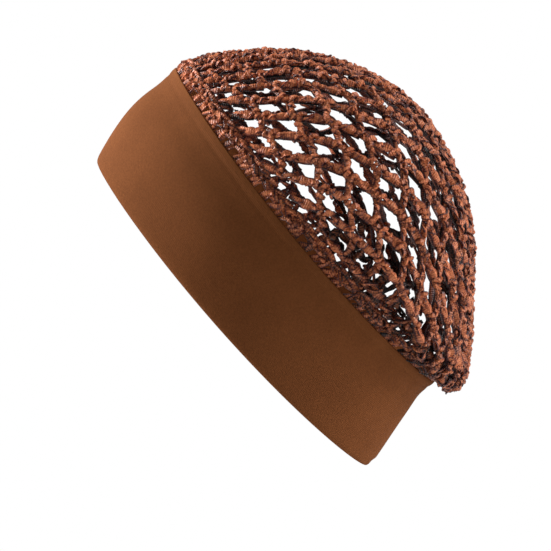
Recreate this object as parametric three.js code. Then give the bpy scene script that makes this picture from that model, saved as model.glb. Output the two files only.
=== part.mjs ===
// Mesh hair bonnet, worn: a wide stretch-fabric band that carries a slouching crown of coarse crochet net.
// Millimetres. +Z is up, -Y is the forehead side and +X is the wearer's left. The origin is the centre of the head
// opening, in the middle of the band, and everything is modelled on the band's own tilted plane.
import * as THREE from "three";

// Driving sizes
const BAND_TILT = 49.5; // degrees that the band's plane dips from the forehead down to the nape
const BAND_WALL = 2.0;
const NET_WALL = 2.6;
const SEAM_GAP = 0.3; // clearance between the band, the edging and the net
const EDGING_HEIGHT = 4.4;
const EDGING_WIDTH = 3.4;
const EGG = 0.05; // how much narrower the head is in front of its middle, and wider behind it

// The band's outer face on its own plane, a row for each level from the hem up to the seam: where it passes over the
// forehead, over the nape and over the ear. y runs from forehead to nape and z from the hem to the crown.
const BAND_SECTIONS = [
  { at: 0.0, frontY: -101.7, frontZ: -32.4, rearY: 112.3, rearZ: -27.9, halfWidth: 75.5, sideZ: -34.0 },
  { at: 0.25, frontY: -107.0, frontZ: -15.6, rearY: 108.4, rearZ: -14.2, halfWidth: 78.0, sideZ: -19.4 },
  { at: 0.5, frontY: -110.2, frontZ: -0.4, rearY: 104.6, rearZ: -0.4, halfWidth: 79.3, sideZ: -4.8 },
  { at: 0.75, frontY: -111.0, frontZ: 15.2, rearY: 101.2, rearZ: 13.6, halfWidth: 79.0, sideZ: 9.8 },
  { at: 1.0, frontY: -110.7, frontZ: 30.6, rearY: 99.8, rearZ: 27.1, halfWidth: 77.5, sideZ: 24.5 },
];

// The net's outer face, a row for each ring from the apex (at 0) out to the seam (at 1). The rear column turns under
// at 0.95, where the slouching bag hangs over the band.
const CROWN_SECTIONS = [
  { at: 0.0, frontY: -13.8, frontZ: 112.7, rearY: -13.8, rearZ: 112.7, halfWidth: 0.0, sideZ: 112.7 },
  { at: 0.2, frontY: -39.6, frontZ: 106.7, rearY: 20.0, rearZ: 107.9, halfWidth: 28.0, sideZ: 108.6 },
  { at: 0.4, frontY: -63.2, frontZ: 94.5, rearY: 51.3, rearZ: 93.8, halfWidth: 54.0, sideZ: 96.5 },
  { at: 0.6, frontY: -83.0, frontZ: 77.4, rearY: 77.5, rearZ: 72.4, halfWidth: 73.0, sideZ: 78.0 },
  { at: 0.8, frontY: -98.5, frontZ: 57.2, rearY: 102.6, rearZ: 48.4, halfWidth: 81.6, sideZ: 55.5 },
  { at: 0.9, frontY: -105.3, frontZ: 46.6, rearY: 111.0, rearZ: 36.8, halfWidth: 81.4, sideZ: 43.0 },
  { at: 0.95, frontY: -107.8, frontZ: 41.6, rearY: 108.6, rearZ: 28.0, halfWidth: 79.8, sideZ: 36.8 },
  { at: 1.0, frontY: -110.0, frontZ: 36.6, rearY: 102.0, rearZ: 32.8, halfWidth: 77.3, sideZ: 30.6 },
];

// The sag fold that starts at the bag and climbs forward along each side before it fades out
const FOLD = {
  start: 20, // degrees from the rear
  end: 88,
  rimAt: 0.97, // ring position of the ridge at the rear
  climb: 0.15, // how far it climbs towards the apex at the side
  width: 0.045,
  ridge: 4.0, // outward
  valleyStep: 0.075, // ring distance from the ridge down to the valley
  valley: 3.5, // inward
  hemFade: 0.03, // ring distance over which it fades out at the seam
};

// The net's mesh, measured along the cloth
const CLOTH_ALONG = 150; // from the apex to the forehead seam or the nape seam
const CLOTH_ACROSS = 133; // from the apex to the seam over an ear
const GAP_PITCH_ALONG = 34;
const GAP_PITCH_ACROSS = 16.5; // between neighbouring rows, which are staggered by half a pitch
const GAP_LENGTH_SHARE = 0.64; // of a cell's length that its gap takes
const GAP_WIDTH_SHARE = 0.42;
const SMALLEST_GAP_CELL = 0.34; // of a whole cell's area, below which a cell at the rim stays closed
const RIM_START = 0.95; // ring position where the gathered rim begins

// Resolution
const BAND_COLUMNS = 72;
const BAND_ROWS = 6;
const EDGING_COLUMNS = 72;
const EDGING_SIDES = 8;
const RIM_ROWS = 2;
const RIM_ARC_STEP = 0.09; // radians between points along a cell's rim side

const FULL_TURN = 2 * Math.PI;
const DIFFERENCE = 1e-3; // step of the numerical derivatives
const HALVINGS = 40; // of the interval in which an edge meets the rim

// The slope of one column at row i, from its neighbours.
function columnSlope(rows, i, column) {
  const before = rows[Math.max(i - 1, 0)];
  const after = rows[Math.min(i + 1, rows.length - 1)];
  return (after[column] - before[column]) / (after.at - before.at);
}

// A table's row at any position, by cubic interpolation of every column.
function sectionAt(rows, at) {
  let i = 0;
  while (i < rows.length - 2 && at > rows[i + 1].at) i += 1;
  const [low, high] = [rows[i], rows[i + 1]];
  const span = high.at - low.at;
  const t = (at - low.at) / span;
  const section = {};
  for (const column of Object.keys(low)) {
    const startSlope = columnSlope(rows, i, column) * span;
    const endSlope = columnSlope(rows, i + 1, column) * span;
    section[column] =
      low[column] * (1 + 2 * t) * (1 - t) ** 2 +
      startSlope * t * (1 - t) ** 2 +
      high[column] * t * t * (3 - 2 * t) -
      endSlope * t * t * (1 - t);
  }
  return section;
}

// A table mirrored through its first row, so that what is interpolated near the apex is smooth across it.
function throughApex(rows) {
  const mirrored = rows.slice(1).map((row) => ({
    at: -row.at,
    frontY: row.rearY,
    frontZ: row.rearZ,
    rearY: row.frontY,
    rearZ: row.frontZ,
    halfWidth: -row.halfWidth,
    sideZ: row.sideZ,
  }));
  return [...mirrored.reverse(), ...rows];
}

// The point of a section at a turn, which is 0 at the forehead and a quarter turn at the wearer's left ear.
function ringPoint(section, turn) {
  const cos = Math.cos(turn);
  const sin = Math.sin(turn);
  const middleY = (section.frontY + section.rearY) / 2;
  const halfLength = (section.rearY - section.frontY) / 2;
  const middleZ = (section.frontZ + section.rearZ) / 2;
  const leanZ = (section.frontZ - section.rearZ) / 2;
  return new THREE.Vector3(
    section.halfWidth * sin * (1 - EGG * cos),
    middleY - halfLength * cos,
    leanZ * cos + middleZ * cos * cos + section.sideZ * sin * sin,
  );
}

function bandSurface(turn, level) {
  return ringPoint(sectionAt(BAND_SECTIONS, level), turn);
}

// How far the sag fold moves the net outwards at a turn and ring position.
function foldOffset(turn, ring) {
  const fromRear = Math.abs(THREE.MathUtils.euclideanModulo(turn, FULL_TURN) - Math.PI);
  const degrees = THREE.MathUtils.radToDeg(fromRear);
  const share = THREE.MathUtils.clamp((degrees - FOLD.start) / (FOLD.end - FOLD.start), 0, 1);
  const strength = Math.sin(Math.PI * share) ** 2;
  const ridgeAt = FOLD.rimAt - FOLD.climb * Math.sin(fromRear) ** 3;
  const bell = (centre) => Math.exp(-(((ring - centre) / FOLD.width) ** 2));
  const hem = THREE.MathUtils.smoothstep(1 - ring, 0, FOLD.hemFade);
  return strength * hem * (FOLD.ridge * bell(ridgeAt) - FOLD.valley * bell(ridgeAt + FOLD.valleyStep));
}

const CROWN_ROWS = throughApex(CROWN_SECTIONS);

// The net's outer face over a flat unit disc: across is towards the wearer's left and along towards the nape.
function crownSurface(across, along) {
  const ring = Math.hypot(across, along);
  const turn = Math.atan2(across, -along);
  const point = ringPoint(sectionAt(CROWN_ROWS, ring), turn);
  const offset = foldOffset(turn, ring);
  return point.add(new THREE.Vector3(Math.sin(turn) * offset, -Math.cos(turn) * offset, 0));
}

// The unit normal of a surface, which is a function of two numbers.
function surfaceNormal(surface, a, b) {
  const alongA = surface(a + DIFFERENCE, b).sub(surface(a - DIFFERENCE, b));
  const alongB = surface(a, b + DIFFERENCE).sub(surface(a, b - DIFFERENCE));
  return alongA.cross(alongB).normalize();
}

function indexedGeometry(points, triangles) {
  const geometry = new THREE.BufferGeometry().setFromPoints(points);
  geometry.setIndex(triangles.flat());
  geometry.computeVertexNormals();
  return geometry;
}

// A closed wall of even thickness whose outer face follows a surface, over a flat pattern of triangles. The edges
// that only one triangle uses are the pattern's borders, and each of them gets a strip that closes the wall.
function wallGeometry(surface, pattern, thickness) {
  const outer = pattern.points.map(([a, b]) => surface(a, b));
  const inner = pattern.points.map(([a, b], i) =>
    surfaceNormal(surface, a, b).multiplyScalar(-thickness).add(outer[i]),
  );
  const count = outer.length;
  const edges = new Set();
  for (const [a, b, c] of pattern.triangles) {
    for (const [from, to] of [[a, b], [b, c], [c, a]]) edges.add(from * count + to);
  }
  const triangles = [];
  for (const [a, b, c] of pattern.triangles) {
    triangles.push([a, b, c], [c + count, b + count, a + count]);
    for (const [from, to] of [[a, b], [b, c], [c, a]]) {
      if (edges.has(to * count + from)) continue;
      triangles.push([to, from, from + count], [to, from + count, to + count]);
    }
  }
  return indexedGeometry([...outer, ...inner], triangles);
}

// A flat pattern that gives each distinct point one index.
class Pattern {
  constructor() {
    this.points = [];
    this.triangles = [];
    this.indexOf = new Map();
  }

  index([a, b]) {
    const key = `${a.toFixed(6)},${b.toFixed(6)}`;
    if (!this.indexOf.has(key)) {
      this.indexOf.set(key, this.points.length);
      this.points.push([a, b]);
    }
    return this.indexOf.get(key);
  }

  add(...corners) {
    this.triangles.push(corners.map((corner) => this.index(corner)));
  }

  // The strip between two outlines with the same number of points.
  addStrip(outerLoop, innerLoop) {
    outerLoop.forEach((corner, i) => {
      const next = (i + 1) % outerLoop.length;
      this.add(corner, outerLoop[next], innerLoop[next]);
      this.add(corner, innerLoop[next], innerLoop[i]);
    });
  }
}

// Headband

function bandGeometry() {
  const points = [];
  const triangles = [];
  for (let row = 0; row <= BAND_ROWS; row += 1) {
    for (let column = 0; column < BAND_COLUMNS; column += 1) {
      points.push([(FULL_TURN * column) / BAND_COLUMNS, row / BAND_ROWS]);
    }
  }
  for (let row = 0; row < BAND_ROWS; row += 1) {
    for (let column = 0; column < BAND_COLUMNS; column += 1) {
      const a = row * BAND_COLUMNS + column;
      const b = row * BAND_COLUMNS + ((column + 1) % BAND_COLUMNS);
      triangles.push([a, b, b + BAND_COLUMNS], [a, b + BAND_COLUMNS, a + BAND_COLUMNS]);
    }
  }
  return wallGeometry(bandSurface, { points, triangles }, BAND_WALL);
}

// Row of stitches on the seam

function edgingGeometry() {
  const points = [];
  const triangles = [];
  for (let column = 0; column < EDGING_COLUMNS; column += 1) {
    const turn = (FULL_TURN * column) / EDGING_COLUMNS;
    const outward = surfaceNormal(bandSurface, turn, 1).setZ(0).normalize();
    const centre = bandSurface(turn, 1).addScaledVector(outward, -BAND_WALL / 2);
    centre.z += SEAM_GAP + EDGING_HEIGHT / 2;
    for (let side = 0; side < EDGING_SIDES; side += 1) {
      const angle = (FULL_TURN * side) / EDGING_SIDES;
      const point = centre.clone().addScaledVector(outward, (Math.cos(angle) * EDGING_WIDTH) / 2);
      point.z += (Math.sin(angle) * EDGING_HEIGHT) / 2;
      points.push(point);
    }
  }
  for (let column = 0; column < EDGING_COLUMNS; column += 1) {
    const nextColumn = (column + 1) % EDGING_COLUMNS;
    for (let side = 0; side < EDGING_SIDES; side += 1) {
      const nextSide = (side + 1) % EDGING_SIDES;
      const a = column * EDGING_SIDES + side;
      const b = nextColumn * EDGING_SIDES + side;
      const c = nextColumn * EDGING_SIDES + nextSide;
      const d = column * EDGING_SIDES + nextSide;
      triangles.push([a, b, c], [a, c, d]);
    }
  }
  return indexedGeometry(points, triangles);
}

// Crochet net

const ringOf = ([across, along]) => Math.hypot(across, along);
const isInNet = (corner) => ringOf(corner) < RIM_START;

// Where the line from an inner corner to an outer one crosses the start of the gathered rim.
function rimCrossing(inside, outside) {
  let [low, high] = [0, 1];
  const at = (t) => [
    inside[0] + (outside[0] - inside[0]) * t,
    inside[1] + (outside[1] - inside[1]) * t,
  ];
  for (let step = 0; step < HALVINGS; step += 1) {
    const middle = (low + high) / 2;
    if (isInNet(at(middle))) low = middle;
    else high = middle;
  }
  return at(low);
}

// The points along the rim strictly between two points on it, counter-clockwise.
function rimArc(from, to) {
  const start = Math.atan2(from[1], from[0]);
  const sweep = THREE.MathUtils.euclideanModulo(Math.atan2(to[1], to[0]) - start, FULL_TURN);
  const steps = Math.ceil(sweep / RIM_ARC_STEP);
  const arc = [];
  for (let step = 1; step < steps; step += 1) {
    const angle = start + (sweep * step) / steps;
    arc.push([RIM_START * Math.cos(angle), RIM_START * Math.sin(angle)]);
  }
  return arc;
}

// A diamond cell's outline, counter-clockwise, cut off where it would reach into the rim. It comes with the stretch of
// the rim that it borders.
function cellOutline(row, column) {
  const corner = (acrossStep, alongStep) => [
    ((column + acrossStep) * GAP_PITCH_ACROSS) / CLOTH_ACROSS,
    ((row + alongStep) * GAP_PITCH_ALONG) / 2 / CLOTH_ALONG,
  ];
  const corners = [corner(1, 0), corner(0, 1), corner(-1, 0), corner(0, -1)];
  const outline = [];
  let exit = null;
  let entry = null;
  corners.forEach((from, i) => {
    const to = corners[(i + 1) % corners.length];
    if (isInNet(from)) outline.push(from);
    if (isInNet(from) && isInNet(to)) outline.push([(from[0] + to[0]) / 2, (from[1] + to[1]) / 2]);
    if (isInNet(from) && !isInNet(to)) {
      exit = rimCrossing(from, to);
      outline.push(exit);
    }
    if (!isInNet(from) && isInNet(to)) {
      entry = rimCrossing(to, from);
      outline.push(entry);
    }
  });
  if (!exit) return { outline, rim: [] };
  const arc = rimArc(exit, entry);
  outline.splice(outline.indexOf(exit) + 1, 0, ...arc);
  return { outline, rim: [exit, ...arc] };
}

function outlineArea(outline) {
  return outline.reduce((sum, [x, y], i) => {
    const [nextX, nextY] = outline[(i + 1) % outline.length];
    return sum + (x * nextY - nextX * y) / 2;
  }, 0);
}

function outlineCentre(outline) {
  const sum = outline.reduce(([x, y], [a, b]) => [x + a, y + b], [0, 0]);
  return [sum[0] / outline.length, sum[1] / outline.length];
}

// The oval gap inside a cell, with one point for each point of the cell's outline.
function gapOutline(outline) {
  const [centreX, centreY] = outlineCentre(outline);
  const reachX = Math.max(...outline.map(([x]) => Math.abs(x - centreX))) * GAP_WIDTH_SHARE;
  const reachY = Math.max(...outline.map(([, y]) => Math.abs(y - centreY))) * GAP_LENGTH_SHARE;
  return outline.map(([x, y]) => {
    const [a, b] = [(x - centreX) / reachX, (y - centreY) / reachY];
    const size = Math.hypot(a, b);
    return [centreX + (reachX * a) / size, centreY + (reachY * b) / size];
  });
}

function crownGeometry() {
  const pattern = new Pattern();
  const rim = [];
  const wholeCell = (GAP_PITCH_ACROSS / CLOTH_ACROSS) * (GAP_PITCH_ALONG / CLOTH_ALONG);
  const rows = Math.ceil((2 * CLOTH_ALONG) / GAP_PITCH_ALONG) + 1;
  const columns = Math.ceil(CLOTH_ACROSS / GAP_PITCH_ACROSS) + 1;
  for (let row = -rows; row <= rows; row += 1) {
    for (let column = -columns; column <= columns; column += 1) {
      if (Math.abs(row + column) % 2 === 0) continue;
      const cell = cellOutline(row, column);
      if (cell.outline.length < 3) continue;
      rim.push(...cell.rim);
      if (outlineArea(cell.outline) > SMALLEST_GAP_CELL * wholeCell) {
        pattern.addStrip(cell.outline, gapOutline(cell.outline));
        continue;
      }
      const centre = outlineCentre(cell.outline);
      cell.outline.forEach((corner, i) => {
        pattern.add(corner, cell.outline[(i + 1) % cell.outline.length], centre);
      });
    }
  }
  rim.sort((a, b) => Math.atan2(a[1], a[0]) - Math.atan2(b[1], b[0]));
  const rimLoop = (step) => {
    const scale = (RIM_START + ((1 - RIM_START) * step) / RIM_ROWS) / RIM_START;
    return rim.map(([x, y]) => (step === 0 ? [x, y] : [x * scale, y * scale]));
  };
  for (let step = 0; step < RIM_ROWS; step += 1) pattern.addStrip(rimLoop(step + 1), rimLoop(step));
  return wallGeometry(crownSurface, pattern, NET_WALL);
}

// Assembly

function namedMesh(name, geometry, color, roughness) {
  const material = new THREE.MeshStandardMaterial({ color, roughness, metalness: 0 });
  const mesh = new THREE.Mesh(geometry, material);
  mesh.name = name;
  return mesh;
}

const bonnet = new THREE.Group();
bonnet.add(
  namedMesh("band", bandGeometry(), 0x8a4f22, 0.75),
  namedMesh("net_edging", edgingGeometry(), 0x6e3520, 0.5),
  namedMesh("net_crown", crownGeometry(), 0x783c22, 0.5),
);
bonnet.rotation.x = THREE.MathUtils.degToRad(-BAND_TILT);

export default bonnet;
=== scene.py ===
"""Dresses the mesh hair bonnet: a stretch-fabric band and a slouching crown of crocheted ribbon yarn."""

import logging
import math
from collections.abc import Iterator
from dataclasses import astuple, dataclass, field, replace
from enum import Enum

import bpy
import numpy as np
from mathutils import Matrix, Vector


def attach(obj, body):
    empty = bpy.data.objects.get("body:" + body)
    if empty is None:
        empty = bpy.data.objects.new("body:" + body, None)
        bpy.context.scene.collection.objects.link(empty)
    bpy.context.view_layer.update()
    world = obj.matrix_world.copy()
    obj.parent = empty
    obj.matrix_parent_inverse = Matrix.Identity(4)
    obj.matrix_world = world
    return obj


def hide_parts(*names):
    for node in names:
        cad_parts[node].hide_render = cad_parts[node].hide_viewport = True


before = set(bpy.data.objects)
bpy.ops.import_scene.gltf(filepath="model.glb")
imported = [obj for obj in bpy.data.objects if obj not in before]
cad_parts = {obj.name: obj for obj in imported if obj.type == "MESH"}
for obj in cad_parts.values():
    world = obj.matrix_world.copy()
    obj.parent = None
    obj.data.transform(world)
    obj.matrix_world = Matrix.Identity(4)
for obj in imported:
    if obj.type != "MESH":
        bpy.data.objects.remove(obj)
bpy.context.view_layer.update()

logging.basicConfig(level=logging.INFO, format="%(message)s")
LOG = logging.getLogger("bonnet")

MM = 0.001
FULL_TURN = 2 * math.pi
TINY = 1e-12

# How far the band's plane dips from the forehead down to the nape
BAND_TILT = math.radians(-49.5)
# How much wider than an ellipse every ring is at the rear, and narrower at the front
EGG_SHAPE = 0.05
# The step on the unit disc over which the net's slope is measured
NORMAL_STEP = 1e-3


# The form that the bonnet has on a head


@dataclass(frozen=True)
class Section:
    """One level of a ring-shaped surface, in millimetres on the band's own tilted plane."""

    at: float
    front_y: float
    front_z: float
    rear_y: float
    rear_z: float
    half_width: float
    side_z: float

    def mirrored(self) -> "Section":
        """The same level on the far side of the apex."""
        return Section(
            -self.at, self.rear_y, self.rear_z, self.front_y, self.front_z, -self.half_width, self.side_z
        )


BAND_SECTIONS = (
    Section(0.0, -101.7, -32.4, 112.3, -27.9, 75.5, -34.0),
    Section(0.25, -107.0, -15.6, 108.4, -14.2, 78.0, -19.4),
    Section(0.5, -110.2, -0.4, 104.6, -0.4, 79.3, -4.8),
    Section(0.75, -111.0, 15.2, 101.2, 13.6, 79.0, 9.8),
    Section(1.0, -110.7, 30.6, 99.8, 27.1, 77.5, 24.5),
)

CROWN_SECTIONS = (
    Section(0.0, -13.8, 112.7, -13.8, 112.7, 0.0, 112.7),
    Section(0.2, -39.6, 106.7, 20.0, 107.9, 28.0, 108.6),
    Section(0.4, -63.2, 94.5, 51.3, 93.8, 54.0, 96.5),
    Section(0.6, -83.0, 77.4, 77.5, 72.4, 73.0, 78.0),
    Section(0.8, -98.5, 57.2, 102.6, 48.4, 81.6, 55.5),
    Section(0.9, -105.3, 46.6, 111.0, 36.8, 81.4, 43.0),
    Section(0.95, -107.8, 41.6, 108.6, 28.0, 79.8, 36.8),
    Section(1.0, -110.0, 36.6, 102.0, 32.8, 77.3, 30.6),
)


class SectionTable:
    """Cubic interpolation of every column of a table of sections."""

    def __init__(self, rows: tuple[Section, ...]) -> None:
        """Reads the rows.

        Args:
            rows: The sections, in rising order of their position.
        """
        self.at = np.array([row.at for row in rows])
        self.columns = np.array(
            [[r.front_y, r.front_z, r.rear_y, r.rear_z, r.half_width, r.side_z] for r in rows]
        )
        last = len(rows) - 1
        before = [max(i - 1, 0) for i in range(len(rows))]
        after = [min(i + 1, last) for i in range(len(rows))]
        rise = self.columns[after] - self.columns[before]
        self.slopes = rise / (self.at[after] - self.at[before])[:, None]

    def sample(self, at: np.ndarray) -> np.ndarray:
        """Reads the table at any positions.

        Args:
            at: Positions.

        Returns:
            The six columns, each as long as the positions.
        """
        i = np.clip(np.searchsorted(self.at, at, side="left") - 1, 0, len(self.at) - 2)
        span = (self.at[i + 1] - self.at[i])[:, None]
        t = (at - self.at[i])[:, None] / span
        low, high = self.columns[i], self.columns[i + 1]
        start, end = self.slopes[i] * span, self.slopes[i + 1] * span
        value = low * (1 + 2 * t) * (1 - t) ** 2 + start * t * (1 - t) ** 2
        return (value + high * t * t * (3 - 2 * t) - end * t * t * (1 - t)).T


@dataclass(frozen=True)
class SagFold:
    """The fold that starts at the bag and climbs forward along each side before it fades out.

    It starts and ends at angles from the nape in degrees. The ridge and the valley are in millimetres, and
    the other sizes are shares of the way from the apex to the seam.
    """

    start: float = 20.0
    end: float = 88.0
    rim_at: float = 0.97
    climb: float = 0.15
    width: float = 0.045
    ridge: float = 4.5
    valley_step: float = 0.075
    valley: float = 8.0
    hem_fade: float = 0.03

    def offset(self, turn: np.ndarray, ring: np.ndarray) -> np.ndarray:
        """How far the net moves outwards, in millimetres.

        Args:
            turn: Angles round the head from the forehead.
            ring: Ring positions, 0 at the apex and 1 at the seam.

        Returns:
            One offset for each place.
        """
        from_rear = np.abs(np.mod(turn, FULL_TURN) - math.pi)
        share = np.clip((np.degrees(from_rear) - self.start) / (self.end - self.start), 0, 1)
        strength = np.sin(math.pi * share) ** 2
        ridge_at = self.rim_at - self.climb * np.sin(from_rear) ** 3
        ridge = bell(ring - ridge_at, self.width)
        valley = bell(ring - ridge_at - self.valley_step, self.width)
        near = np.clip((1 - ring) / self.hem_fade, 0, 1)
        hem = near * near * (3 - 2 * near)
        return strength * hem * (self.ridge * ridge - self.valley * valley)


class WornForm:
    """The surfaces of the bonnet as worn, in metres in the frame's own axes."""

    def __init__(self) -> None:
        """Prepares the tables."""
        self.band_table = SectionTable(BAND_SECTIONS)
        through_apex = tuple(s.mirrored() for s in reversed(CROWN_SECTIONS[1:])) + CROWN_SECTIONS
        self.crown_table = SectionTable(through_apex)
        self.fold = SagFold()

    @staticmethod
    def to_frame(points: np.ndarray) -> np.ndarray:
        """Turns points from the band's plane into the frame.

        Args:
            points: Points in millimetres, one a row.

        Returns:
            The points in metres.
        """
        cos, sin = math.cos(BAND_TILT), math.sin(BAND_TILT)
        x, y, z = points.T
        return np.column_stack([x, cos * y - sin * z, sin * y + cos * z]) * MM

    @staticmethod
    def ring_points(
        columns: np.ndarray, turn: np.ndarray, outward: np.ndarray | float
    ) -> np.ndarray:
        """Places points round their sections.

        Args:
            columns: The six columns of each point's section.
            turn: Each point's angle from the forehead, a quarter turn at the wearer's left ear.
            outward: Millimetres added away from the head.

        Returns:
            Points in millimetres on the band's plane.
        """
        front_y, front_z, rear_y, rear_z, half_width, side_z = columns
        cos, sin = np.cos(turn), np.sin(turn)
        x = half_width * sin * (1 - EGG_SHAPE * cos) + sin * outward
        y = (front_y + rear_y) / 2 - (rear_y - front_y) / 2 * cos - cos * outward
        z = (front_z - rear_z) / 2 * cos + (front_z + rear_z) / 2 * cos**2 + side_z * sin**2
        return np.column_stack([x, y, z])

    def band(self, turn: np.ndarray, level: np.ndarray, outward: np.ndarray | float = 0.0) -> np.ndarray:
        """The band's outer face.

        Args:
            turn: Angles from the forehead.
            level: Heights, 0 at the hem and 1 at the seam.
            outward: Millimetres added away from the head.

        Returns:
            Points in the frame.
        """
        return self.to_frame(self.ring_points(self.band_table.sample(level), turn, outward))

    def crown(self, across: np.ndarray, along: np.ndarray) -> np.ndarray:
        """The net's outer face over a flat unit disc.

        Args:
            across: Places towards the wearer's left.
            along: Places towards the nape.

        Returns:
            Points in the frame.
        """
        ring = np.hypot(across, along)
        turn = np.arctan2(across, -along)
        columns = self.crown_table.sample(ring)
        return self.to_frame(self.ring_points(columns, turn, self.fold.offset(turn, ring)))

    def crown_out(self, across: np.ndarray, along: np.ndarray) -> np.ndarray:
        """The outward unit normals of the net.

        Args:
            across: Places towards the wearer's left.
            along: Places towards the nape.

        Returns:
            One unit vector for each place.
        """
        wide = self.crown(across + NORMAL_STEP, along) - self.crown(across - NORMAL_STEP, along)
        long = self.crown(across, along + NORMAL_STEP) - self.crown(across, along - NORMAL_STEP)
        return unit(np.cross(wide, long))


def unit(vectors: np.ndarray) -> np.ndarray:
    """Vectors of length one.

    Args:
        vectors: Any vectors, along the last axis.

    Returns:
        The same directions.
    """
    return vectors / np.maximum(np.linalg.norm(vectors, axis=-1, keepdims=True), TINY)


def bell(distance: np.ndarray, width: float) -> np.ndarray:
    """A smooth bump, 1 in its middle and almost nothing at twice its width away."""
    return np.exp(-((distance / width) ** 2))


# Shaders


Colour = tuple[float, float, float]

BLACK = (0.0, 0.0, 0.0)
WHITE = (1.0, 1.0, 1.0)
BUMP_DISTANCE = 0.3 * MM

# A Mix node names its sockets alike for every type of value, so those for colours go by number
MIX_FACTOR, MIX_LOW, MIX_HIGH = "0", "6", "7"
MIX_COLOUR = 2


class Value:
    """A shader socket that Python's arithmetic works on."""

    def __init__(self, graph: "Graph", socket: bpy.types.NodeSocket | None) -> None:
        """Wraps a socket of a graph."""
        self.graph = graph
        self.socket = socket

    def math(self, operation: str, *inputs: "Value | float") -> "Value":
        """Adds a Math node.

        Args:
            operation: The node's operation.
            inputs: Its inputs in order.

        Returns:
            The result.
        """
        links = {str(i): item for i, item in enumerate(inputs)}
        return self.graph.node("ShaderNodeMath", {"operation": operation}, links)

    def __add__(self, other: "Value | float") -> "Value":
        """The sum."""
        return self.math("ADD", self, other)

    def __sub__(self, other: "Value | float") -> "Value":
        """The difference."""
        return self.math("SUBTRACT", self, other)

    def __rsub__(self, other: "Value | float") -> "Value":
        """The difference, turned round."""
        return self.math("SUBTRACT", other, self)

    def __mul__(self, other: "Value | float") -> "Value":
        """The product."""
        return self.math("MULTIPLY", self, other)

    def __pow__(self, other: "Value | float") -> "Value":
        """The power."""
        return self.math("POWER", self, other)

    __radd__ = __add__
    __rmul__ = __mul__

    def sine(self) -> "Value":
        """The sine."""
        return self.math("SINE", self)

    def wave(self) -> "Value":
        """The sine, brought to between 0 and 1."""
        return self.sine() * 0.5 + 0.5

    def clamped(self) -> "Value":
        """The value kept between 0 and 1."""
        return self.graph.node("ShaderNodeClamp", {}, {"Value": self})


class Graph:
    """The node tree of a material or of the surroundings while it is drawn up."""

    def __init__(self, owner: bpy.types.Material | bpy.types.World) -> None:
        """Empties the owner's node tree.

        Args:
            owner: What the tree belongs to.
        """
        owner.use_nodes = True
        self.owner = owner
        self.tree = owner.node_tree
        self.tree.nodes.clear()

    @classmethod
    def for_material(cls, name: str) -> "Graph":
        """The empty tree of a new material of that name."""
        return cls(bpy.data.materials.new(name))

    def node(self, kind: str, settings: dict, inputs: dict, output: str | int = 0) -> Value:
        """Adds one node.

        Args:
            kind: The node's type.
            settings: Its own settings, such as a Math node's operation, which are set first.
            inputs: The values or links of its sockets, by name or by number.
            output: The socket that is read.

        Returns:
            That output, wrapped, with nothing in it for a node that has none.
        """
        made = self.tree.nodes.new(kind)
        for key, setting in settings.items():
            setattr(made, key, setting)
        for key, item in inputs.items():
            socket = made.inputs[int(key)] if key.isdigit() else made.inputs[key]
            if isinstance(item, Value):
                self.tree.links.new(item.socket, socket)
            elif socket.type == "RGBA":
                socket.default_value = (*item, 1.0)
            else:
                socket.default_value = item
        return Value(self, made.outputs[output] if made.outputs else None)

    def mix(
        self, factor: Value | float, low: Value | Colour, high: Value | Colour, blend: str = "MIX"
    ) -> Value:
        """Mixes two colours.

        Args:
            factor: Share of the second.
            low: The first colour.
            high: The second colour.
            blend: The way of mixing.

        Returns:
            The colour.
        """
        settings = {"data_type": "RGBA", "blend_type": blend}
        inputs = {MIX_FACTOR: factor, MIX_LOW: low, MIX_HIGH: high}
        return self.node("ShaderNodeMix", settings, inputs, MIX_COLOUR)

    def noise(self, place: Value, scale: float, detail: float = 2.0, roughness: float = 0.5) -> Value:
        """Soft noise from 0 to 1 at a scale in cycles a metre."""
        inputs = {"Vector": place, "Scale": scale, "Detail": detail, "Roughness": roughness}
        return self.node("ShaderNodeTexNoise", {}, inputs)

    def place(self) -> Value:
        """The object's own coordinates, in metres."""
        return self.node("ShaderNodeTexCoord", {}, {}, "Object")

    def uv(self, name: str) -> tuple[Value, ...]:
        """The two coordinates of a piece's own UV map."""
        both = self.node("ShaderNodeUVMap", {"uv_map": name}, {})
        return tuple(self.node("ShaderNodeSeparateXYZ", {}, {"Vector": both}, axis) for axis in "XY")

    def attribute(self, name: str) -> Value:
        """The number that a piece's mesh holds under that name for each of its points."""
        return self.node("ShaderNodeAttribute", {"attribute_name": name}, {}, "Fac")

    def bump(self, height: Value, strength: float) -> Value:
        """Normals that are tilted by a height from 0 to about 1."""
        inputs = {"Strength": strength, "Distance": BUMP_DISTANCE, "Height": height}
        return self.node("ShaderNodeBump", {}, inputs)

    def seen(self) -> Value:
        """1 for what the camera sees directly and 0 for what lights the bonnet."""
        return self.node("ShaderNodeLightPath", {}, {}, "Is Camera Ray")

    def finish(self, **inputs: "Value | float | Colour") -> bpy.types.Material:
        """Ends a material's graph in a Principled shader.

        Args:
            inputs: Its sockets, with underscores for spaces.

        Returns:
            The material.
        """
        named = {key.replace("_", " "): item for key, item in inputs.items()}
        shader = self.node("ShaderNodeBsdfPrincipled", {}, named)
        self.node("ShaderNodeOutputMaterial", {}, {"Surface": shader})
        return self.owner


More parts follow.
